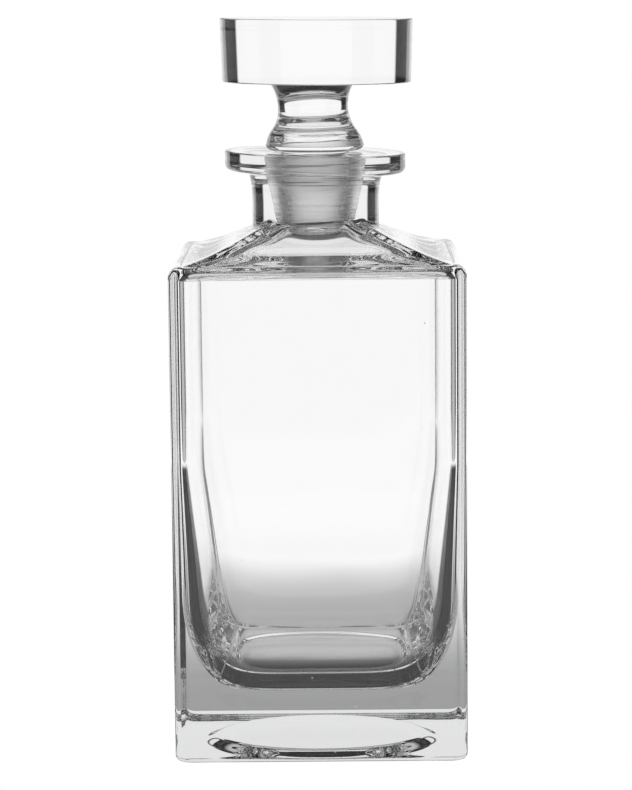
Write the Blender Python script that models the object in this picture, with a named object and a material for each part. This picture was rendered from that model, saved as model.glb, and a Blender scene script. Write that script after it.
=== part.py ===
"""Square glass spirit decanter with a ground-in disc stopper.

Units are metres and +Z is up. The origin is the centre of the flat base, and the neck's axis is the Z axis.
The decanter is two pieces of clear glass: the bottle, and the solid stopper whose tapered plug sits in the
bottle's ground bore and lifts straight out of it.
"""

import bmesh
import bpy
from math import cos, pi, radians, sin

# Bottle, outside
BODY_WIDTH = 0.0900         # across the flats of the square body
BODY_EDGE = 0.0018          # radius of the body's four vertical edges
SHOULDER_BASE = 0.1534      # height of the body's top edge
SHOULDER_ROUND = 0.0030     # rounding between a side and the shoulder
SHOULDER_RISE = 0.0111      # from the body's top edge to where the ridges meet the neck
SHOULDER_POWER = 1.4        # above 1 makes the shoulder's four faces hollow
BASE_ROUND = 0.0030         # rounding between a side and the base
PUNT_RADIUS = 0.0385        # shallow round hollow under the base
PUNT_ROOF_RADIUS = 0.0310   # inside its sloping step
PUNT_STEP = 0.0024          # height of that step
PUNT_DEPTH = 0.0030

# Bottle, neck and lip
NECK_RADIUS = 0.0199
NECK_FLARE_START = 0.1700   # the neck widens from here up to the lip
NECK_FLARE = 0.0019
LIP_RADIUS = 0.0283
LIP_TOP = 0.1854
LIP_THICKNESS = 0.0062
LIP_ROUND = 0.0020          # lower edge of the lip
LIP_BREAK = 0.0004          # polished top edge of the lip

# Ground joint between the bore and the plug
PLUG_TOP_RADIUS = 0.0106
PLUG_END_RADIUS = 0.0080
PLUG_LENGTH = 0.0219        # below the lip's top face
JOINT_GAP = 0.00035         # between the plug and the ground bore
GRIND_LENGTH = 0.0224       # the bore is ground from the lip down to here, just past the plug's end

# Bottle, inside
CAVITY_HALF = 0.0430        # half the hollow's width
CAVITY_POWER = 14.0         # how square the hollow's outline is; 2 would be round
THICKENING_START = 0.0920   # from here down the hollow's corners fill with more glass
FLOOR_HEIGHT = 0.0203       # thick glass base under the hollow
FLOOR_HALF = 0.0270         # half the width of the hollow's flat floor
FLOOR_POWER = 5.0           # how square that floor is
FLOOR_ROUND = 0.0290        # height of the rounding between the hollow's walls and its floor
CEILING_HEIGHT = 0.1514     # where the hollow's walls have turned in under the shoulder
CEILING_ROUND = 0.0025

# Stopper
DISC_RADIUS = 0.0301        # at the disc's top face
DISC_DRAFT = 0.0006         # how much smaller the disc's lower edge is
DISC_BOTTOM = 0.2071
DISC_TOP = 0.2268
DISC_BREAK = 0.0004         # polished edges of the disc
STEM_TOP_RADIUS = 0.0133
WAIST_RADIUS = 0.01095
WAIST_HEIGHT = 0.1992
BULGE_RADIUS = 0.01544
BULGE_HEIGHT = 0.1876
BULGE_CLEARANCE = 0.0003    # between the bulge's underside and the lip

# Mesh fineness
CORNER_ANGLES = (0, 11, 21, 30, 36.5, 41, 43.6)  # degrees from the middle of a flat to its corner
ROUND_SIDES = 48
ARC_STEPS = 4

GLASS_COLOUR = (0.97, 0.98, 0.98, 1.0)
GLASS_IOR = 1.52


def quarter_arc(start, end, centre, steps=ARC_STEPS):
    """Points of a quarter ellipse from start to end round centre, as (radius, height) pairs."""
    (x0, z0), (x1, z1), (cx, cz) = start, end, centre
    points = []
    for i in range(steps + 1):
        turn = 0.5 * pi * i / steps
        from_start, from_end = cos(turn), sin(turn)
        points.append((
            cx + (x0 - cx) * from_start + (x1 - cx) * from_end,
            cz + (z0 - cz) * from_start + (z1 - cz) * from_end,
        ))
    return points


def smooth_curve(points, steps):
    """A Catmull-Rom curve through the points, each stretch cut into the given number of steps."""
    padded = [points[0], *points, points[-1]]
    curve = []
    for before, start, end, after in zip(padded, padded[1:], padded[2:], padded[3:]):
        for i in range(steps):
            t = i / steps
            curve.append(tuple(
                0.5 * (2 * b + (c - a) * t + (2 * a - 5 * b + 4 * c - d) * t**2
                       + (3 * b - a - 3 * c + d) * t**3)
                for a, b, c, d in zip(before, start, end, after)
            ))
    return curve + [points[-1]]


def flat_angles():
    """Directions once round the square, closest together at the four corners."""
    quarter = [*CORNER_ANGLES, 45] + [90 - a for a in reversed(CORNER_ANGLES[1:])]
    return [radians(90 * side + a) for side in range(4) for a in quarter]


def rounded_square_reach(angle, half_width, corner):
    """Distance from the axis to the outline of a rounded square, in the direction of angle."""
    c, s = sorted((abs(cos(angle)), abs(sin(angle))), reverse=True)
    corner = min(corner, half_width)
    middle = half_width - corner
    if half_width * s <= middle * c:
        return half_width / c
    along = middle * (c + s)
    return along + (along**2 - 2 * middle**2 + corner**2) ** 0.5


def square_ring(half_width, corner, height):
    """One ring of the bottle's mesh: a rounded square, which is a circle when corner is half_width."""
    return [
        (reach * cos(angle), reach * sin(angle), height)
        for angle in flat_angles()
        for reach in [rounded_square_reach(angle, half_width, corner)]
    ]


def shoulder_ring(half_width, corner, height):
    """A ring where the square shoulder runs into the round neck, with a small fillet between them."""
    fillet = 40  # a higher power gives a tighter fillet
    ring = []
    for angle in flat_angles():
        square = rounded_square_reach(angle, half_width, corner)
        reach = (square**fillet + NECK_RADIUS**fillet) ** (1 / fillet)
        ring.append((reach * cos(angle), reach * sin(angle), height))
    return ring


def bulging_ring(half_width, power, height):
    """A ring of the hollow: a superellipse, between a circle and a square."""
    ring = []
    for angle in flat_angles():
        c, s = cos(angle), sin(angle)
        reach = half_width * (abs(c) ** power + abs(s) ** power) ** (-1 / power)
        ring.append((reach * c, reach * s, height))
    return ring


def skin(name, rings, bottom_pole, top_pole):
    """An object from a stack of rings, closed at both ends by a fan of triangles round a pole."""
    mesh = bmesh.new()
    loops = [[mesh.verts.new(point) for point in ring] for ring in rings]
    count = len(loops[0])
    for lower, upper in zip(loops, loops[1:]):
        for i in range(count):
            j = (i + 1) % count
            mesh.faces.new((lower[i], lower[j], upper[j], upper[i]))
    start, end = mesh.verts.new(bottom_pole), mesh.verts.new(top_pole)
    for i in range(count):
        j = (i + 1) % count
        mesh.faces.new((start, loops[0][j], loops[0][i]))
        mesh.faces.new((end, loops[-1][i], loops[-1][j]))
    bmesh.ops.recalc_face_normals(mesh, faces=mesh.faces)
    data = bpy.data.meshes.new(name)
    mesh.to_mesh(data)
    mesh.free()
    data.shade_smooth()
    data.set_sharp_from_angle(angle=radians(35))
    shape = bpy.data.objects.new(name, data)
    bpy.context.collection.objects.link(shape)
    return shape


def glass(name):
    """Clear, colourless glass."""
    material = bpy.data.materials.new(name)
    material.use_nodes = True
    shader = material.node_tree.nodes["Principled BSDF"]
    shader.inputs["Base Color"].default_value = GLASS_COLOUR
    shader.inputs["Roughness"].default_value = 0.0
    shader.inputs["Metallic"].default_value = 0.0
    shader.inputs["IOR"].default_value = GLASS_IOR
    shader.inputs["Transmission Weight"].default_value = 1.0
    return material


def base_rings():
    """From the middle of the underside out over the round hollow to the flat rim and up its rounding."""
    rings = []
    for share in (0.35, 0.7, 1.0):
        radius = PUNT_ROOF_RADIUS * share
        rise = (PUNT_DEPTH - PUNT_STEP) * (1 - share**2)
        rings.append(square_ring(radius, radius, PUNT_STEP + rise))
    for share in (0.25, 0.5, 0.75, 1.0):
        radius = PUNT_ROOF_RADIUS + (PUNT_RADIUS - PUNT_ROOF_RADIUS) * share
        rings.append(square_ring(radius, radius, PUNT_STEP * (0.5 + 0.5 * cos(pi * share))))
    half = BODY_WIDTH / 2
    inner = half - BASE_ROUND
    for width, height in quarter_arc((inner, 0), (half, BASE_ROUND), (inner, BASE_ROUND)):
        rings.append(square_ring(width, BODY_EDGE + 0.5 * (half - width), height))
    return rings


def shoulder_rings():
    """The rounding at the body's top edge, then the four hollow faces up to the neck."""
    half = BODY_WIDTH / 2
    inner = half - SHOULDER_ROUND
    low = SHOULDER_BASE - SHOULDER_ROUND
    rings = [
        square_ring(width, BODY_EDGE, height)
        for width, height in quarter_arc((half, low), (inner, SHOULDER_BASE), (inner, low))
    ]
    ridge_end = NECK_RADIUS * cos(pi / 4)  # here the ridges run into the neck
    for share in (0.16, 0.33, 0.5, 0.64, 0.74, 0.8, 0.86, 0.93, 1.0):
        width = inner + (ridge_end - inner) * share
        height = SHOULDER_BASE + SHOULDER_RISE * share**SHOULDER_POWER
        rings.append(shoulder_ring(width, BODY_EDGE, height))
    return rings


def neck_rings():
    """The flared neck, the round lip and its flat top, ending at the mouth of the bore."""
    under = LIP_TOP - LIP_THICKNESS
    flare_end = NECK_RADIUS + NECK_FLARE
    edge = LIP_RADIUS - LIP_ROUND
    top_edge = LIP_RADIUS - LIP_BREAK
    profile = [(NECK_RADIUS, NECK_FLARE_START)]
    profile += quarter_arc(
        (NECK_RADIUS, NECK_FLARE_START), (flare_end, under), (flare_end, NECK_FLARE_START)
    )[1:]
    profile += quarter_arc((edge, under), (LIP_RADIUS, under + LIP_ROUND), (edge, under + LIP_ROUND))
    profile += [(LIP_RADIUS, LIP_TOP - LIP_BREAK), (top_edge, LIP_TOP)]
    profile += [(PLUG_TOP_RADIUS + JOINT_GAP + LIP_BREAK, LIP_TOP)]
    return [square_ring(radius, radius, height) for radius, height in profile]


def plug_radius(depth):
    """Radius of the plug's taper at a depth below the lip's top face."""
    return PLUG_TOP_RADIUS + (PLUG_END_RADIUS - PLUG_TOP_RADIUS) * depth / PLUG_LENGTH


def cavity_power(height):
    """How square the hollow is at a height: less so towards its floor."""
    share = min(1, max(0, (THICKENING_START - height) / (THICKENING_START - FLOOR_HEIGHT)))
    return CAVITY_POWER * (FLOOR_POWER / CAVITY_POWER) ** (share * (2 - share))


def bore_rings():
    """Down the ground taper, out under the shoulder, and down the hollow's walls."""
    mouth = (plug_radius(LIP_BREAK) + JOINT_GAP, LIP_TOP - LIP_BREAK)
    grind_end = (plug_radius(GRIND_LENGTH) + JOINT_GAP, LIP_TOP - GRIND_LENGTH)
    ceiling = (CAVITY_HALF - CEILING_ROUND, CEILING_HEIGHT)
    wall_top = (CAVITY_HALF, CEILING_HEIGHT - CEILING_ROUND)
    profile = smooth_curve([
        (grind_end[0] + 0.0008, grind_end[1] - 0.0005),
        (0.0106, 0.1610),
        (0.0140, 0.1590),
        (0.0220, 0.1558),
        (0.0300, 0.1529),
        ceiling,
    ], 2)
    profile += quarter_arc(ceiling, wall_top, (ceiling[0], wall_top[1]))[1:]
    profile += [(CAVITY_HALF, z) for z in (THICKENING_START, 0.078, 0.063)]
    rings = [square_ring(radius, radius, height) for radius, height in (mouth, grind_end)]
    for width, height in profile:
        share = (width - grind_end[0]) / (CAVITY_HALF - grind_end[0])
        rings.append(bulging_ring(width, 2 + (cavity_power(height) - 2) * share**0.6, height))
    return rings


def floor_rings():
    """The hollow's rounded bottom and its flat floor."""
    low = FLOOR_HEIGHT + FLOOR_ROUND
    rings = [
        bulging_ring(width, cavity_power(height), height)
        for width, height in quarter_arc(
            (CAVITY_HALF, low), (FLOOR_HALF, FLOOR_HEIGHT), (FLOOR_HALF, low), steps=8
        )
    ]
    return rings + [bulging_ring(FLOOR_HALF / 2, FLOOR_POWER, FLOOR_HEIGHT)]


def make_decanter_body():
    rings = base_rings() + shoulder_rings() + neck_rings() + bore_rings() + floor_rings()
    body = skin("decanter_body", rings, (0, 0, PUNT_DEPTH), (0, 0, FLOOR_HEIGHT))
    body.data.materials.append(glass("bottle_glass"))
    return body


def round_ring(radius, height):
    """One ring of the stopper's mesh, with its height measured from the lip's top face."""
    turns = [2 * pi * i / ROUND_SIDES for i in range(ROUND_SIDES)]
    return [(radius * cos(turn), radius * sin(turn), height - LIP_TOP) for turn in turns]


def stopper_profile():
    """Half outline of the stopper from the plug's end up to the disc's top face."""
    plug_end = LIP_TOP - PLUG_LENGTH
    seat = LIP_TOP + BULGE_CLEARANCE
    disc_low = DISC_RADIUS - DISC_DRAFT
    profile = [
        (PLUG_END_RADIUS - LIP_BREAK, plug_end),
        (PLUG_END_RADIUS, plug_end + LIP_BREAK),
        (plug_radius(-BULGE_CLEARANCE), seat),
    ]
    profile += quarter_arc(
        (BULGE_RADIUS - 0.0030, seat), (BULGE_RADIUS, BULGE_HEIGHT), (BULGE_RADIUS - 0.0030, BULGE_HEIGHT)
    )
    profile += smooth_curve([
        (BULGE_RADIUS, BULGE_HEIGHT),
        (0.0143, 0.1907),
        (0.0119, 0.1945),
        (WAIST_RADIUS, WAIST_HEIGHT),
        (0.0116, 0.2036),
        (STEM_TOP_RADIUS, DISC_BOTTOM),
    ], 3)[1:]
    profile += [
        (disc_low - DISC_BREAK, DISC_BOTTOM),
        (disc_low, DISC_BOTTOM + DISC_BREAK),
        (DISC_RADIUS, DISC_TOP - DISC_BREAK),
        (DISC_RADIUS - DISC_BREAK, DISC_TOP),
    ]
    return profile


def make_stopper():
    """The solid stopper, with its origin on the neck's axis at the lip's top face."""
    profile = stopper_profile()
    rings = [round_ring(radius, height) for radius, height in profile]
    ends = [(0, 0, height - LIP_TOP) for height in (profile[0][1], profile[-1][1])]
    stopper = skin("stopper", rings, *ends)
    stopper.location = (0, 0, LIP_TOP)
    stopper.data.materials.append(glass("stopper_glass"))
    return stopper


for leftover in list(bpy.data.objects):
    bpy.data.objects.remove(leftover)
make_decanter_body()
make_stopper()
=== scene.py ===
"""Looks of the square glass decanter: the glass of bottle and stopper, the studio and the camera."""

from math import cos, pi, radians, sin, tan

import bpy
import numpy as np
from mathutils import Matrix, Vector, noise


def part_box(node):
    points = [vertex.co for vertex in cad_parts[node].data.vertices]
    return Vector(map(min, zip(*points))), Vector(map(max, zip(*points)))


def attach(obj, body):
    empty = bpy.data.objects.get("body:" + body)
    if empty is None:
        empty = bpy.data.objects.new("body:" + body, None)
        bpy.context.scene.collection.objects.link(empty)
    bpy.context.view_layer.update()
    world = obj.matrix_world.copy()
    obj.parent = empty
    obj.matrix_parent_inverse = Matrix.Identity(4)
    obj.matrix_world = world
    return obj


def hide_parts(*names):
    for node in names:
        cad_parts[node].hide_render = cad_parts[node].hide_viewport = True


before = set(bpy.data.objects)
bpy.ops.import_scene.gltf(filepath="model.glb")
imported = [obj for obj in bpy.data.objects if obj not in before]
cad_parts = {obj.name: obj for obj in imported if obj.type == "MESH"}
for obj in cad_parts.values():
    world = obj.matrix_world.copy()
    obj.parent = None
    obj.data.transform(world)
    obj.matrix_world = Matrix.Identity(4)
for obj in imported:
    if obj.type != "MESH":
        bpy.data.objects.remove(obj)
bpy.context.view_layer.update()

MM = 0.001

# Sizes that the frame gives
body_low, body_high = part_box("decanter_body")
stop_low, stop_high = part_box("stopper")
HALF = (body_high.x - body_low.x) / 2
LIP_TOP = body_high.z
DISC_TOP = stop_high.z
DISC_RADIUS = (stop_high.x - stop_low.x) / 2
PLUG_END = stop_low.z

# Bottle, outside, as in the CAD model
BODY_EDGE = 1.8 * MM
SHOULDER_BASE = 153.4 * MM
SHOULDER_ROUND = 3.0 * MM
SHOULDER_RISE = 11.1 * MM
SHOULDER_POWER = 1.4
BASE_ROUND = 3.0 * MM
PUNT_RADIUS = 38.5 * MM
PUNT_ROOF_RADIUS = 31.0 * MM
PUNT_STEP = 2.4 * MM        # height of the step round the punt
PUNT_DEPTH = 3.0 * MM
NECK_RADIUS = 19.9 * MM
NECK_FLARE_START = 170.0 * MM
NECK_FLARE = 1.9 * MM
LIP_RADIUS = 28.3 * MM
LIP_THICKNESS = 6.2 * MM
LIP_ROUND = 2.0 * MM
LIP_BREAK = 0.4 * MM

# Ground joint and the hollow
PLUG_TOP_RADIUS = 10.6 * MM
PLUG_END_RADIUS = 8.0 * MM
JOINT_GAP = 0.12 * MM       # the CAD solids keep more than this, so that their meshes stay apart
GRIND_LENGTH = 22.4 * MM    # the bore is ground to just past the plug's end
CAVITY_HALF = 43.0 * MM
CAVITY_POWER = 14.0         # how square the hollow's outline is; 2 would be round
THICKENING_START = 92.0 * MM  # from here down the hollow's corners fill with more glass
FLOOR_HEIGHT = 20.3 * MM
FLOOR_HALF = 27.0 * MM
FLOOR_POWER = 5.0
FLOOR_ROUND = 29.0 * MM     # height of the rounding between the hollow's walls and its floor
CEILING_HEIGHT = 151.4 * MM  # where the hollow's walls have turned in under the shoulder
CEILING_ROUND = 2.5 * MM

# Stopper
DISC_DRAFT = 0.6 * MM
DISC_BOTTOM = 207.1 * MM
DISC_BREAK = 0.4 * MM
STEM_TOP_RADIUS = 13.3 * MM
WAIST_RADIUS = 10.95 * MM
WAIST_HEIGHT = 199.2 * MM
BULGE_RADIUS = 15.44 * MM
BULGE_HEIGHT = 187.6 * MM
BULGE_ROUND = 3.0 * MM      # rounding of the bulge's lower edge
BULGE_CLEARANCE = 0.3 * MM  # between the bulge's underside and the lip
STOPPER_SIDES = 160         # straight stretches round the stopper

# Hand-finishing: what makes the real glass less than perfect
NECK_SHIFT = -0.55 * MM     # the neck stands a little off the body's axis, along X
LIP_TILT = radians(1.5)     # the lip's face dips towards +X
SHAFT_LEAN = radians(2.2)   # the stopper's shaft leans towards -X above its seat
DISC_SHIFT = 0.7 * MM       # the disc is set this far off the plug's axis
DISC_TILT = radians(0.6)
PLUG_END_TILT = radians(4)  # the plug's end is cut askew, and so is the end of the ground bore
OUTER_RIPPLE = 0.008 * MM
INNER_RIPPLE = 0.07 * MM
STOPPER_RIPPLE = 0.03 * MM

# Where these come in, as pairs of heights or distances from the axis between which the change is made
NECK_SHIFT_HEIGHTS = (152 * MM, 163 * MM)
LIP_TILT_HEIGHTS = (170 * MM, 179 * MM)
LIP_TILT_REACH = (14 * MM, 22 * MM)
BORE_END_HEIGHTS = (1.2 * MM, 5 * MM)   # above and below the plug's end
BORE_END_REACH = (10 * MM, 15 * MM)
PLUG_CUT_HEIGHT = 5 * MM                # the slant of the plug's end has gone this far above it
INNER_RIPPLE_HEIGHTS = (130 * MM, 150 * MM)
INNER_RIPPLE_TURN = 4 * MM              # half the width over which it goes round the hollow's corners

# Lengths of the ripples' waves, round and up the glass
BROAD_WAVES = (30 * MM, 16 * MM)
FINE_WAVES = (14 * MM, 4 * MM)
FINE_SHARE = 0.3                        # depth of the bottle's fine waves against the broad ones
SHAFT_FINE_WAVES = (12 * MM, 1.6 * MM)
SHAFT_BROAD_WAVES = (14 * MM, 6 * MM)
SHAFT_BROAD_SHARE = 4


# ---------------------------------------------------------------- outlines

def quarter_arc(start, end, centre, steps=12):
    """Points of a quarter ellipse from start to end round centre, as (radius, height) pairs."""
    (x0, z0), (x1, z1), (cx, cz) = start, end, centre
    points = []
    for i in range(steps + 1):
        turn = 0.5 * pi * i / steps
        a, b = cos(turn), sin(turn)
        points.append((cx + (x0 - cx) * a + (x1 - cx) * b, cz + (z0 - cz) * a + (z1 - cz) * b))
    return points


def smooth_curve(points, steps=8):
    """A Catmull-Rom curve through the points, each stretch cut into the given number of steps."""
    padded = [points[0], *points, points[-1]]
    curve = []
    for before, start, end, after in zip(padded, padded[1:], padded[2:], padded[3:]):
        for i in range(steps):
            t = i / steps
            curve.append(tuple(
                0.5 * (2 * b + (c - a) * t + (2 * a - 5 * b + 4 * c - d) * t**2
                       + (3 * b - a - 3 * c + d) * t**3)
                for a, b, c, d in zip(before, start, end, after)
            ))
    return curve + [points[-1]]


def straight(start, end, step=2.0 * MM):
    """Points from start to end, both left out, about a step apart."""
    length = ((end[0] - start[0]) ** 2 + (end[1] - start[1]) ** 2) ** 0.5
    count = max(2, round(length / step))
    return [
        tuple(a + (b - a) * i / count for a, b in zip(start, end))
        for i in range(1, count)
    ]


def ease(value, low, high):
    """0 below low, 1 above high, and smooth between them."""
    share = np.clip((value - low) / (high - low), 0, 1)
    return share * share * (3 - 2 * share)


HALF_QUARTER = 28   # directions between the middle of a side and its corner
CLUSTER = 1.8       # how much closer together they lie at the corner


def directions():
    """Directions once round the square, closest together at the four corners."""
    rise = [45 * (1 - (1 - i / HALF_QUARTER) ** CLUSTER) for i in range(HALF_QUARTER)]
    quarter = rise + [45] + [90 - a for a in reversed(rise[1:])]
    return np.radians([90 * side + a for side in range(4) for a in quarter])


TURNS = directions()


def square_reach(half_width, corner):
    """Distance from the axis to a rounded square's outline, in each of the directions."""
    along = np.maximum(abs(np.cos(TURNS)), abs(np.sin(TURNS)))
    across = np.minimum(abs(np.cos(TURNS)), abs(np.sin(TURNS)))
    corner = min(corner, half_width)
    middle = half_width - corner
    mean = middle * (along + across)
    rounded = mean + np.sqrt(np.maximum(mean**2 - 2 * middle**2 + corner**2, 0))
    return np.where(half_width * across <= middle * along, half_width / along, rounded)


def ring(reach, height):
    """One ring of points at a height, from the distance to the axis in each of the directions."""
    return np.stack([reach * np.cos(TURNS), reach * np.sin(TURNS), np.full(len(TURNS), height)], 1)


def square_ring(half_width, corner, height):
    """One ring of the bottle: a rounded square, which is a circle when corner is half_width."""
    return ring(square_reach(half_width, corner), height)


def bulging_ring(half_width, power, height):
    """One ring of the hollow: a superellipse, which is a circle when power is 2."""
    reach = (abs(np.cos(TURNS)) ** power + abs(np.sin(TURNS)) ** power) ** (-1 / power)
    return ring(half_width * reach, height)


def base_rings():
    """From the middle of the underside out over the punt to the flat rim and up its rounding."""
    rings = []
    for radius in np.linspace(0, PUNT_ROOF_RADIUS, 9)[1:]:
        rise = (PUNT_DEPTH - PUNT_STEP) * (1 - (radius / PUNT_ROOF_RADIUS) ** 2)
        rings.append(square_ring(radius, radius, PUNT_STEP + rise))
    step_cuts = 20
    for i in range(1, step_cuts + 1):
        share = i / step_cuts
        radius = PUNT_ROOF_RADIUS + (PUNT_RADIUS - PUNT_ROOF_RADIUS) * share
        rings.append(square_ring(radius, radius, PUNT_STEP * (0.5 + 0.5 * cos(pi * share))))
    inner = HALF - BASE_ROUND
    for width, height in quarter_arc((inner, 0), (HALF, BASE_ROUND), (inner, BASE_ROUND)):
        rings.append(square_ring(width, BODY_EDGE + 0.5 * (HALF - width), height))
    return rings


def shoulder_rings():
    """Up the sides, round the body's top edge and over the four hollow faces to the neck."""
    inner = HALF - SHOULDER_ROUND
    low = SHOULDER_BASE - SHOULDER_ROUND
    rings = [
        square_ring(width, BODY_EDGE, height)
        for width, height in straight((HALF, BASE_ROUND), (HALF, low))
        + quarter_arc((HALF, low), (inner, SHOULDER_BASE), (inner, low))
    ]
    ridge_end = NECK_RADIUS * cos(pi / 4)   # here the ridges run into the neck
    fillet = 40                             # a higher power gives a tighter fillet round the neck
    face_cuts = 48
    for i in range(1, face_cuts + 1):
        share = i / face_cuts
        width = inner + (ridge_end - inner) * share
        height = SHOULDER_BASE + SHOULDER_RISE * share**SHOULDER_POWER
        square = square_reach(width, BODY_EDGE)
        rings.append(ring((square**fillet + NECK_RADIUS**fillet) ** (1 / fillet), height))
    return rings


def plug_radius(height):
    """Radius of the plug's taper at a height."""
    share = (LIP_TOP - height) / (LIP_TOP - PLUG_END)
    return PLUG_TOP_RADIUS + (PLUG_END_RADIUS - PLUG_TOP_RADIUS) * share


def neck_rings():
    """Up the flared neck, round the lip and over its flat top to the mouth of the bore."""
    under = LIP_TOP - LIP_THICKNESS
    flare_end = NECK_RADIUS + NECK_FLARE
    edge = LIP_RADIUS - LIP_ROUND
    mouth = PLUG_TOP_RADIUS + JOINT_GAP + LIP_BREAK
    profile = straight((NECK_RADIUS, SHOULDER_BASE + SHOULDER_RISE), (NECK_RADIUS, NECK_FLARE_START), MM)
    profile += quarter_arc(
        (NECK_RADIUS, NECK_FLARE_START), (flare_end, under), (flare_end, NECK_FLARE_START)
    )
    profile += straight((flare_end, under), (edge, under), MM)
    profile += quarter_arc((edge, under), (LIP_RADIUS, under + LIP_ROUND), (edge, under + LIP_ROUND))
    profile += straight((LIP_RADIUS, under + LIP_ROUND), (LIP_RADIUS, LIP_TOP - LIP_BREAK), MM)
    profile += quarter_arc(
        (LIP_RADIUS, LIP_TOP - LIP_BREAK), (LIP_RADIUS - LIP_BREAK, LIP_TOP),
        (LIP_RADIUS - LIP_BREAK, LIP_TOP - LIP_BREAK), steps=4,
    )
    profile += straight((LIP_RADIUS - LIP_BREAK, LIP_TOP), (mouth, LIP_TOP), MM)
    profile += [(mouth, LIP_TOP)]
    return [square_ring(radius, radius, height) for radius, height in profile]


def cavity_power(height):
    """How square the hollow is at a height: less so towards its floor."""
    share = min(1, max(0, (THICKENING_START - height) / (THICKENING_START - FLOOR_HEIGHT)))
    return CAVITY_POWER * (FLOOR_POWER / CAVITY_POWER) ** (share * (2 - share))


def bore_rings():
    """Down the ground taper, out under the shoulder and down the hollow's walls."""
    mouth = (plug_radius(LIP_TOP - LIP_BREAK) + JOINT_GAP, LIP_TOP - LIP_BREAK)
    grind_end = (plug_radius(LIP_TOP - GRIND_LENGTH) + JOINT_GAP, LIP_TOP - GRIND_LENGTH)
    ground = [mouth] + straight(mouth, grind_end, 0.5 * MM) + [grind_end]
    ceiling = (CAVITY_HALF - CEILING_ROUND, CEILING_HEIGHT)
    wall_top = (CAVITY_HALF, CEILING_HEIGHT - CEILING_ROUND)
    profile = smooth_curve([
        (grind_end[0] + 0.8 * MM, grind_end[1] - 0.5 * MM),
        (10.6 * MM, 161.0 * MM),
        (14.0 * MM, 159.0 * MM),
        (22.0 * MM, 155.8 * MM),
        (30.0 * MM, 152.9 * MM),
        ceiling,
    ])
    profile += quarter_arc(ceiling, wall_top, (ceiling[0], wall_top[1]))[1:]
    low = FLOOR_HEIGHT + FLOOR_ROUND
    profile += [(CAVITY_HALF, z) for z in np.arange(wall_top[1] - 2 * MM, low, -2 * MM)]
    rings = [square_ring(radius, radius, height) for radius, height in ground]
    for width, height in profile:
        share = (width - grind_end[0]) / (CAVITY_HALF - grind_end[0])
        rings.append(bulging_ring(width, 2 + (cavity_power(height) - 2) * share**0.6, height))
    return rings


def floor_rings():
    """The hollow's rounded bottom and its flat floor."""
    low = FLOOR_HEIGHT + FLOOR_ROUND
    rings = [
        bulging_ring(width, cavity_power(height), height)
        for width, height in quarter_arc(
            (CAVITY_HALF, low), (FLOOR_HALF, FLOOR_HEIGHT), (FLOOR_HALF, low), steps=36
        )
    ]
    floor_cuts = 8
    for i in range(1, floor_cuts):
        rings.append(bulging_ring(FLOOR_HALF * (1 - i / floor_cuts), FLOOR_POWER, FLOOR_HEIGHT))
    return rings


def skin(name, rings, poles):
    """A closed mesh object from a stack of rings with a pole at each end."""
    count, size = len(rings), len(rings[0])
    points = [tuple(p) for r in rings for p in r] + [tuple(p) for p in poles]
    start, end = len(points) - 2, len(points) - 1
    faces = []
    for row in range(count - 1):
        for i in range(size):
            j = (i + 1) % size
            low, high = row * size, (row + 1) * size
            faces.append((low + i, low + j, high + j, high + i))
    last = (count - 1) * size
    for i in range(size):
        j = (i + 1) % size
        faces.append((start, j, i))
        faces.append((end, last + i, last + j))
    mesh = bpy.data.meshes.new(name)
    mesh.from_pydata(points, [], faces)
    mesh.shade_smooth()
    shape = bpy.data.objects.new(name, mesh)
    bpy.context.scene.collection.objects.link(shape)
    return shape


def read_vertices(shape, what):
    """The positions (co) or normals of an object's vertices as an array."""
    values = np.zeros(len(shape.data.vertices) * 3)
    shape.data.vertices.foreach_get(what, values)
    return values.reshape(-1, 3)


def write_vertices(shape, places):
    """Move an object's vertices to the positions in an array."""
    shape.data.vertices.foreach_set("co", places.ravel())
    shape.data.update()


def ripple(shape, depth, around, along):
    """Uneven glass: the surface goes in and out by up to depth, in waves of those lengths round and up."""
    places, normals = read_vertices(shape, "co"), read_vertices(shape, "normal")
    scale = np.array([1 / around, 1 / around, 1 / along])
    waves = np.array([noise.noise(Vector(place)) for place in places * scale])
    write_vertices(shape, places + normals * (waves * depth)[:, None])


# ---------------------------------------------------------------- node helpers

class Nodes:
    """A node tree with short ways to add the nodes that the materials here need."""

    def __init__(self, tree):
        self.tree = tree

    def add(self, kind, inputs=(), **settings):
        """A new node; inputs are values or sockets, in order or as a dictionary by name."""
        node = self.tree.nodes.new(kind)
        for setting, value in settings.items():
            setattr(node, setting, value)
        for key, value in inputs.items() if isinstance(inputs, dict) else enumerate(inputs):
            if isinstance(value, bpy.types.NodeSocket):
                self.link(value, node.inputs[key])
            else:
                node.inputs[key].default_value = value
        return node

    def link(self, output, target):
        self.tree.links.new(output, target)

    def math(self, operation, *values):
        return self.add("ShaderNodeMath", values, operation=operation).outputs[0]

    def step(self, value, low, high):
        """0 below low, 1 above high, and smooth between them."""
        inputs = {"Value": value, "From Min": low, "From Max": high}
        return self.add("ShaderNodeMapRange", inputs, interpolation_type="SMOOTHSTEP").outputs["Result"]

    def blend(self, share, first, second):
        """From first, where share is 0, to second, where it is 1."""
        inputs = {"Value": share, "To Min": first, "To Max": second}
        return self.add("ShaderNodeMapRange", inputs).outputs["Result"]

    def outside(self, share):
        return self.math("SUBTRACT", 1.0, share)

    def place(self):
        """The point's three coordinates in the object's own space, which is the frame's."""
        spot = self.add("ShaderNodeTexCoord").outputs["Object"]
        return spot, *self.add("ShaderNodeSeparateXYZ", [spot]).outputs


# ---------------------------------------------------------------- materials

GLASS_IOR = 1.52
GREY_COLOUR = (0.05, 0.08, 0.07, 1)     # what thick glass turns towards
BOTTLE_DENSITY = 2.5
STOPPER_DENSITY = 0.2

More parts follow.
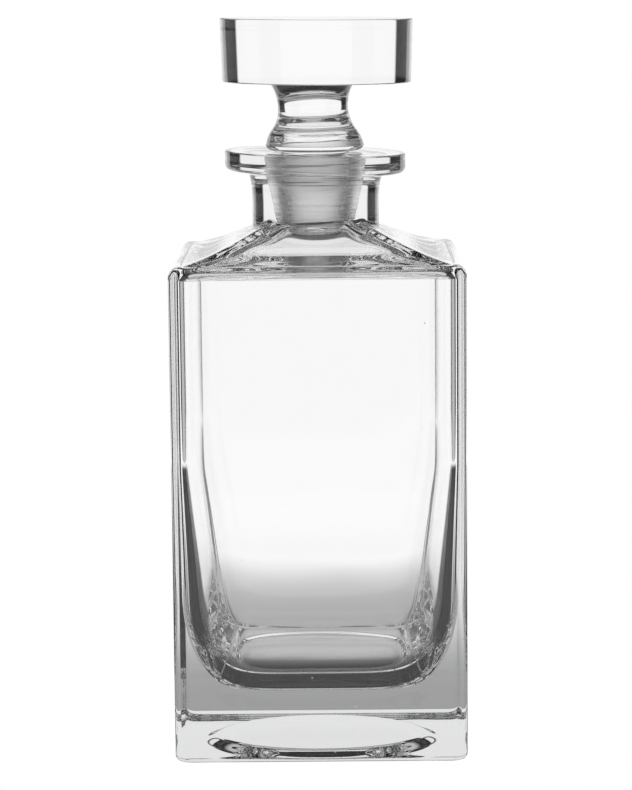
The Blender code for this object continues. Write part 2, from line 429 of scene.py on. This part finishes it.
# The ground faces of the joint, as pairs of places between which they fade into polished glass
GROUND_REACH = (11.7 * MM, 12.0 * MM)
GROUND_CORE = (PLUG_END_RADIUS - 1.2 * MM, PLUG_END_RADIUS - 0.8 * MM)
GROUND_LOW = (PLUG_END - 0.5 * MM, PLUG_END - 0.4 * MM)
GROUND_HIGH = (LIP_TOP - 0.8 * MM, LIP_TOP - 0.3 * MM)
GROUND_ROUGHNESS = 0.42
ROUGHNESS_SPREAD = 0.4      # how far the streaks take the roughness up and down
STREAK_SCALE = (40, 40, 1100)   # waves per metre across and up: long marks that run round the joint
STREAK_DEPTH = 0.35 * MM
STREAK_STRENGTH = 0.9

# Painted shade on the joint: dark streaks painted into the glass's colour where its two faces meet unevenly,
# and a dark line painted round its end
SHADED_STREAK_GRAIN = (0.54, 0.62)   # only the strongest streaks are dark
SHADED_STREAK_HEIGHTS = (168 * MM, 176 * MM)     # and only in the joint's upper part
SHADED_STREAK_SHARE = 0.7
SHADED_END_LINE = (0.35 * MM, 0.55 * MM)       # half its width, and where it has faded out
CLEAR_TONE = 0.99
# the tone of the painted shade on the joint
PAINTED_SHADE_TONE = 0.03

# The glass holds a few tiny bubbles, which show as specks where they touch its skin
SEED_SPACING = 11.0 * MM
SEED_RADIUS = 0.45 * MM
SEED_SHARE = 0.5            # only some of the places have one


def joint_faces(tree, x, y, z):
    """Two shares: 1 on the joint's ground faces, and 1 along the line round its end, where shade is painted.
    """
    across = tree.add("ShaderNodeCombineXYZ", [x, y]).outputs[0]
    reach = tree.add("ShaderNodeVectorMath", [across], operation="LENGTH").outputs["Value"]
    near = tree.outside(tree.step(reach, *GROUND_REACH))
    side = tree.step(reach, *GROUND_CORE)
    slant = tree.math("MULTIPLY", tree.math("ADD", x, PLUG_END_RADIUS), tan(PLUG_END_TILT))
    level = tree.math("SUBTRACT", z, slant)
    low = tree.step(level, *GROUND_LOW)
    high = tree.outside(tree.step(z, *GROUND_HIGH))
    ground = tree.math("MULTIPLY", tree.math("MULTIPLY", near, side), tree.math("MULTIPLY", low, high))
    off_line = tree.math("ABSOLUTE", tree.math("SUBTRACT", level, GROUND_LOW[1]))
    line = tree.math("MULTIPLY", tree.outside(tree.step(off_line, *SHADED_END_LINE)), near)
    return ground, line


def seed_specks(tree, spot):
    """1 in the middle of each seed that touches the glass's skin, 0 away from them."""
    seeds = tree.add("ShaderNodeTexVoronoi", {"Vector": spot, "Scale": 1 / SEED_SPACING}).outputs
    speck = tree.outside(tree.step(seeds["Distance"], 0, SEED_RADIUS / SEED_SPACING))
    return tree.math("MULTIPLY", speck, tree.math("GREATER_THAN", seeds["Color"], SEED_SHARE))


def joint_tone_with_painted_shade(tree, ground, grain, line, height):
    """The glass's colour: clear, with painted shade along the joint's streaks and a painted dark line at its
    end.
    """
    marks = tree.math("MULTIPLY", ground, tree.step(grain, *SHADED_STREAK_GRAIN))
    marks = tree.math("MULTIPLY", marks, tree.step(height, *SHADED_STREAK_HEIGHTS))
    shade = tree.math("MAXIMUM", tree.math("MULTIPLY", marks, SHADED_STREAK_SHARE), line)
    return tree.blend(shade, CLEAR_TONE, PAINTED_SHADE_TONE)


def glass_material(name, density):
    """Clear glass with a few seeds. It greys with thickness and is ground matt, in streaks, in the joint,
    where dark streaks and a dark line are painted into its colour as shade.
    """
    material = bpy.data.materials.new(name)
    material.use_nodes = True
    tree = Nodes(material.node_tree)
    shader = material.node_tree.nodes["Principled BSDF"]
    shader.inputs["IOR"].default_value = GLASS_IOR
    shader.inputs["Transmission Weight"].default_value = 1.0
    spot, x, y, z = tree.place()
    ground, line = joint_faces(tree, x, y, z)
    streaks = tree.add("ShaderNodeMapping", {"Vector": spot, "Scale": STREAK_SCALE}).outputs[0]
    grain = tree.add("ShaderNodeTexNoise", {"Vector": streaks, "Scale": 1.0, "Detail": 3.0}).outputs["Fac"]
    smoothest = (1 - ROUGHNESS_SPREAD) * GROUND_ROUGHNESS
    roughest = (1 + ROUGHNESS_SPREAD) * GROUND_ROUGHNESS
    roughness = tree.math("MULTIPLY", ground, tree.blend(grain, smoothest, roughest))
    tree.link(roughness, shader.inputs["Roughness"])
    strength = tree.math("MULTIPLY", ground, STREAK_STRENGTH)
    bump = tree.add("ShaderNodeBump", {"Height": grain, "Distance": STREAK_DEPTH, "Strength": strength})
    speck = seed_specks(tree, spot)
    bump = tree.add("ShaderNodeBump", {"Height": speck, "Distance": SEED_RADIUS, "Normal": bump.outputs[0]})
    tree.link(bump.outputs[0], shader.inputs["Normal"])
    tree.link(joint_tone_with_painted_shade(tree, ground, grain, line, z), shader.inputs["Base Color"])
    grey = tree.add("ShaderNodeVolumeAbsorption", {"Color": GREY_COLOUR, "Density": density})
    tree.link(grey.outputs[0], material.node_tree.nodes["Material Output"].inputs["Volume"])
    return material


# ---------------------------------------------------------------- studio

PANEL_DISTANCE = 0.50       # the white panels that stand round the decanter
PANEL_TOP = 0.305
PANEL_FADE = 0.015          # half the height over which the panels' top edge fades
FLAG_TONE = 0.02            # black cards between the panels
ROOM_TONE = 0.035           # the unlit room above the panels
CEILING_TONE = 0.68
NEAR_TONE = 0.75            # the panel behind the camera
SIDE_TONE = 0.50            # the panels at the sides, dimmer than those in front and behind

# Directions, from straight ahead or behind to either side, where one tone changes into the next
FRONT_END = (radians(41), radians(44))
SIDE_START = (radians(67), radians(73))
FLOOR_FLAG_START = (radians(40), radians(48))
CEILING_START = (sin(radians(45)), sin(radians(55)))    # upwards, on the unit sphere
MIDDLE = (-0.1, 0.1)        # along Y, where the near panel's tone gives way to the far one's

# What the glass sees of the floor, which carries painted shade: greyer near the decanter, a painted shadow
# at its foot and in front of it, and painted shade under the flags. The pairs are distances where one tone
# changes into the next
# painted shade: the floor near the decanter is greyer than the white beyond
FLOOR_SHADE_TONE = 0.42
FLOOR_BRIGHTENS = (0.09, 0.24)
FOOT_SHADOW_TONE = 0.04            # in the decanter's own shade, at its foot and in front of it
FOOT_BACK = (-0.015, 0.012)
FOOT_REACH = (0.06, 0.12)
FLAG_SHADE_TONE = 0.03      # painted shade under the flags
FLOOR_FLAG_NEAR = (0.04, 0.07)
FLOOR_FLAG_FAR = (0.35, 0.50)
FLOOR_EDGE = 6.0
FLOOR_DROP = 0.2 * MM       # the floor lies this far under the glass


def emission_material(name):
    """A new material that only glows, its node tree and its strength socket."""
    material = bpy.data.materials.new(name)
    material.use_nodes = True
    tree = Nodes(material.node_tree)
    tree.tree.nodes.remove(tree.tree.nodes["Principled BSDF"])
    emission = tree.add("ShaderNodeEmission")
    tree.link(emission.outputs[0], tree.tree.nodes["Material Output"].inputs["Surface"])
    return material, tree, emission.inputs["Strength"]


def stage_mesh(name, points, faces, material):
    """A mesh object that belongs to the studio and not to the decanter."""
    mesh = bpy.data.meshes.new(name)
    mesh.from_pydata(points, [], faces)
    mesh.materials.append(material)
    shape = bpy.data.objects.new(name, mesh)
    bpy.context.scene.collection.objects.link(shape)
    return shape


def shown_white(tree, tone):
    """The tone that the glass sees; straight to the eye it is white."""
    return tree.math("MAXIMUM", tone, tree.add("ShaderNodeLightPath").outputs["Is Camera Ray"])


def side_angle(tree, x, y):
    """How far a direction is turned from straight ahead or straight behind, to either side."""
    return tree.math("ARCTAN2", tree.math("ABSOLUTE", x), tree.math("ABSOLUTE", y))


def make_world():
    """The room above the panels: dark, with a lit ceiling."""
    world = bpy.data.worlds.new("studio")
    bpy.context.scene.world = world
    world.use_nodes = True
    tree = Nodes(world.node_tree)
    spot = tree.add("ShaderNodeTexCoord").outputs["Generated"]
    z = tree.add("ShaderNodeSeparateXYZ", [spot]).outputs[2]
    tone = tree.blend(tree.step(z, *CEILING_START), ROOM_TONE, CEILING_TONE)
    background = world.node_tree.nodes["Background"]
    tree.link(shown_white(tree, tone), background.inputs["Strength"])
    background.inputs["Color"].default_value = (1, 1, 1, 1)


def make_panels():
    """White panels on all four sides with black flags beside them, seen through the glass only."""
    material, tree, strength = emission_material("panel_light")
    x, y, z = tree.place()[1:]
    side = side_angle(tree, x, y)
    front = tree.outside(tree.step(side, *FRONT_END))
    front = tree.math("MULTIPLY", front, tree.blend(tree.step(y, *MIDDLE), NEAR_TONE, 1.0))
    beyond = tree.step(side, *SIDE_START)
    wall = tree.math("MAXIMUM", front, tree.math("MULTIPLY", beyond, SIDE_TONE))
    wall = tree.math("MAXIMUM", wall, FLAG_TONE)
    over = tree.step(z, PANEL_TOP - PANEL_FADE, PANEL_TOP + PANEL_FADE)
    tree.link(tree.blend(over, wall, ROOM_TONE), strength)
    d, top = PANEL_DISTANCE, PANEL_TOP + PANEL_FADE
    corners = [(-d, -d), (d, -d), (d, d), (-d, d)]
    points = [(x, y, height) for height in (0, top) for x, y in corners]
    faces = [(i, (i + 1) % 4, 4 + (i + 1) % 4, 4 + i) for i in range(4)]
    stage_mesh("panels", points, faces, material).visible_camera = False


def make_floor():
    """A plain pale floor. What the glass sees of it has painted shade: greyer near the decanter, a painted
    shadow at its foot and dark under the flags.
    """
    material, tree, strength = emission_material("pale_floor")
    spot, x, y = tree.place()[:3]
    reach = tree.add("ShaderNodeVectorMath", [spot], operation="LENGTH").outputs["Value"]
    tone = tree.blend(tree.step(reach, *FLOOR_BRIGHTENS), FLOOR_SHADE_TONE, 1.0)
    foot = tree.outside(tree.step(y, *FOOT_BACK))
    foot = tree.math("MULTIPLY", foot, tree.outside(tree.step(reach, *FOOT_REACH)))
    tone = tree.blend(foot, tone, FOOT_SHADOW_TONE)
    flag = tree.step(side_angle(tree, x, y), *FLOOR_FLAG_START)
    flag = tree.math("MULTIPLY", flag, tree.step(reach, *FLOOR_FLAG_NEAR))
    flag = tree.math("MULTIPLY", flag, tree.outside(tree.step(reach, *FLOOR_FLAG_FAR)))
    tone = tree.blend(flag, tone, FLAG_SHADE_TONE)
    tree.link(shown_white(tree, tone), strength)
    corners = [(-1, -1), (1, -1), (1, 1), (-1, 1)]
    points = [(FLOOR_EDGE * a, FLOOR_EDGE * b, -FLOOR_DROP) for a, b in corners]
    stage_mesh("floor", points, [(0, 1, 2, 3)], material)


CAMERA_DISTANCE = 0.900
CAMERA_HEIGHT = 0.2435
CAMERA_PITCH = radians(8.56)    # looking down
CAMERA_ROLL = radians(0.548)
CAMERA_PAN = radians(-0.064)
CAMERA_TURN = radians(0.35)     # how far the camera stands round the decanter, towards +X
FOCAL_PIXELS = 2865
FRAME_HEIGHT = 790
SENSOR = 36.0


def make_camera():
    """The camera, a little above the stopper and looking slightly down, as in the photograph."""
    data = bpy.data.cameras.new("camera")
    data.sensor_width = SENSOR
    data.lens = FOCAL_PIXELS * SENSOR / FRAME_HEIGHT
    camera = bpy.data.objects.new("camera", data)
    bpy.context.scene.collection.objects.link(camera)
    level = Vector((sin(CAMERA_PAN), cos(CAMERA_PAN), 0))
    right = Vector((cos(CAMERA_PAN), -sin(CAMERA_PAN), 0))
    up = Vector((0, 0, 1))
    forward = level * cos(CAMERA_PITCH) - up * sin(CAMERA_PITCH)
    over = level * sin(CAMERA_PITCH) + up * cos(CAMERA_PITCH)
    tilted_right = right * cos(CAMERA_ROLL) - over * sin(CAMERA_ROLL)
    tilted_over = right * sin(CAMERA_ROLL) + over * cos(CAMERA_ROLL)
    turned = Matrix.Rotation(CAMERA_TURN, 4, "Z")
    place = Matrix((tilted_right, tilted_over, -forward)).transposed().to_4x4()
    place.translation = (0, -CAMERA_DISTANCE, CAMERA_HEIGHT)
    camera.matrix_world = turned @ place
    bpy.context.scene.camera = camera


# ---------------------------------------------------------------- pieces

def set_neck_askew(shape):
    """Tilt the lip, move the neck a little off the axis and slant the end of the ground bore."""
    places = read_vertices(shape, "co")
    x, y, z = places.T
    lip = ease(z, *LIP_TILT_HEIGHTS) * ease(np.hypot(x, y), *LIP_TILT_REACH)
    places[:, 2] -= tan(LIP_TILT) * x * lip
    places[:, 0] += NECK_SHIFT * ease(z, *NECK_SHIFT_HEIGHTS)
    bore_end = 1 - ease(abs(z - PLUG_END), *BORE_END_HEIGHTS)
    bore_end = bore_end * (1 - ease(np.hypot(x, y), *BORE_END_REACH))
    places[:, 2] += tan(PLUG_END_TILT) * (x + PLUG_END_RADIUS) * bore_end
    write_vertices(shape, places)


def bottle_ripples(bottle, outer_count, inner_count):
    """How deep the ripples are at each vertex: deepest inside the front and back walls."""
    inner = np.repeat([0, 1], [outer_count, inner_count])
    inner = np.append(inner, [0, 1])    # the two poles come last
    x, y, height = abs(read_vertices(bottle, "co")).T
    inner = inner * (1 - ease(height, *INNER_RIPPLE_HEIGHTS))
    inner = inner * ease(y - x, -INNER_RIPPLE_TURN, INNER_RIPPLE_TURN)
    return OUTER_RIPPLE + (INNER_RIPPLE - OUTER_RIPPLE) * inner


def make_bottle():
    outside = base_rings() + shoulder_rings() + neck_rings()
    inside = bore_rings() + floor_rings()
    bottle = skin("bottle_glass_body", outside + inside, [(0, 0, PUNT_DEPTH), (0, 0, FLOOR_HEIGHT)])
    depth = bottle_ripples(bottle, len(outside) * len(TURNS), len(inside) * len(TURNS))
    ripple(bottle, depth, *BROAD_WAVES)
    ripple(bottle, FINE_SHARE * depth, *FINE_WAVES)
    set_neck_askew(bottle)
    bottle.data.materials.append(glass_material("bottle_glass", BOTTLE_DENSITY))
    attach(bottle, "bottle")
    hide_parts("decanter_body")


def stopper_profile():
    """Half outline of the stopper from the plug's end up to the disc's top face."""
    seat = LIP_TOP + BULGE_CLEARANCE
    bulge_centre = (BULGE_RADIUS - BULGE_ROUND, BULGE_HEIGHT)
    end_cuts = 8
    disc_low = DISC_RADIUS - DISC_DRAFT
    plug = [(PLUG_END_RADIUS, PLUG_END + LIP_BREAK), (plug_radius(seat), seat)]
    profile = [(PLUG_END_RADIUS * i / end_cuts, PLUG_END) for i in range(1, end_cuts)]
    profile += quarter_arc(
        (PLUG_END_RADIUS - LIP_BREAK, PLUG_END), (PLUG_END_RADIUS, PLUG_END + LIP_BREAK),
        (PLUG_END_RADIUS - LIP_BREAK, PLUG_END + LIP_BREAK), steps=4,
    )
    profile += straight(plug[0], plug[1], 0.5 * MM) + [plug[1]]
    profile += quarter_arc((bulge_centre[0], seat), (BULGE_RADIUS, BULGE_HEIGHT), bulge_centre)
    profile += smooth_curve([
        (BULGE_RADIUS, BULGE_HEIGHT),
        (14.3 * MM, 190.7 * MM),
        (11.9 * MM, 194.5 * MM),
        (WAIST_RADIUS, WAIST_HEIGHT),
        (11.6 * MM, 203.6 * MM),
        (STEM_TOP_RADIUS, DISC_BOTTOM),
    ], steps=12)[1:]
    profile += straight((STEM_TOP_RADIUS, DISC_BOTTOM), (disc_low - DISC_BREAK, DISC_BOTTOM))
    profile += quarter_arc(
        (disc_low - DISC_BREAK, DISC_BOTTOM), (disc_low, DISC_BOTTOM + DISC_BREAK),
        (disc_low - DISC_BREAK, DISC_BOTTOM + DISC_BREAK), steps=4,
    )
    profile += straight((disc_low, DISC_BOTTOM + DISC_BREAK), (DISC_RADIUS, DISC_TOP - DISC_BREAK))
    profile += quarter_arc(
        (DISC_RADIUS, DISC_TOP - DISC_BREAK), (DISC_RADIUS - DISC_BREAK, DISC_TOP),
        (DISC_RADIUS - DISC_BREAK, DISC_TOP - DISC_BREAK), steps=4,
    )
    profile += straight((DISC_RADIUS - DISC_BREAK, DISC_TOP), (2 * MM, DISC_TOP))
    return profile


def set_stopper_askew(shape):
    """Lean the shaft, set the disc off it and tilt it, and cut the plug's end askew."""
    places = read_vertices(shape, "co")
    x, y, z = places.T.copy()
    shaft = -tan(SHAFT_LEAN) * np.clip(z - LIP_TOP, 0, DISC_BOTTOM - LIP_TOP)
    under_disc = (z > DISC_BOTTOM - 0.2 * MM) * ease(np.hypot(x, y), STEM_TOP_RADIUS, DISC_RADIUS - 2 * MM)
    disc = np.maximum(under_disc, ease(z, DISC_BOTTOM + 0.2 * MM, DISC_BOTTOM + 0.6 * MM))
    places[:, 0] += NECK_SHIFT + shaft * (1 - disc) + DISC_SHIFT * disc
    places[:, 2] -= tan(DISC_TILT) * x * disc
    end = 1 - ease(z, PLUG_END, PLUG_END + PLUG_CUT_HEIGHT)
    places[:, 2] += tan(PLUG_END_TILT) * (x + PLUG_END_RADIUS) * end
    write_vertices(shape, places)


def make_stopper():
    turns = np.arange(STOPPER_SIDES) * 2 * pi / STOPPER_SIDES
    rings = [
        np.stack([radius * np.cos(turns), radius * np.sin(turns), np.full(STOPPER_SIDES, height)], 1)
        for radius, height in stopper_profile()
    ]
    stopper = skin("stopper_glass_body", rings, [(0, 0, PLUG_END), (0, 0, DISC_TOP)])
    height = read_vertices(stopper, "co")[:, 2]
    shaft = ease(height, LIP_TOP, LIP_TOP + MM) * (1 - ease(height, WAIST_HEIGHT, DISC_BOTTOM))
    ripple(stopper, STOPPER_RIPPLE * shaft, *SHAFT_FINE_WAVES)
    ripple(stopper, SHAFT_BROAD_SHARE * STOPPER_RIPPLE * shaft, *SHAFT_BROAD_WAVES)
    set_stopper_askew(stopper)
    stopper.data.materials.append(glass_material("stopper_glass", STOPPER_DENSITY))
    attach(stopper, "stopper")
    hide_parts("stopper")


def set_look():
    """Plain colours, and enough bounces for light to pass through all the glass."""
    scene = bpy.context.scene
    scene.view_settings.view_transform = "Standard"
    scene.cycles.max_bounces = 32
    scene.cycles.transmission_bounces = 32
    scene.cycles.glossy_bounces = 16


set_look()
make_world()
make_panels()
make_floor()
make_camera()
make_bottle()
make_stopper()
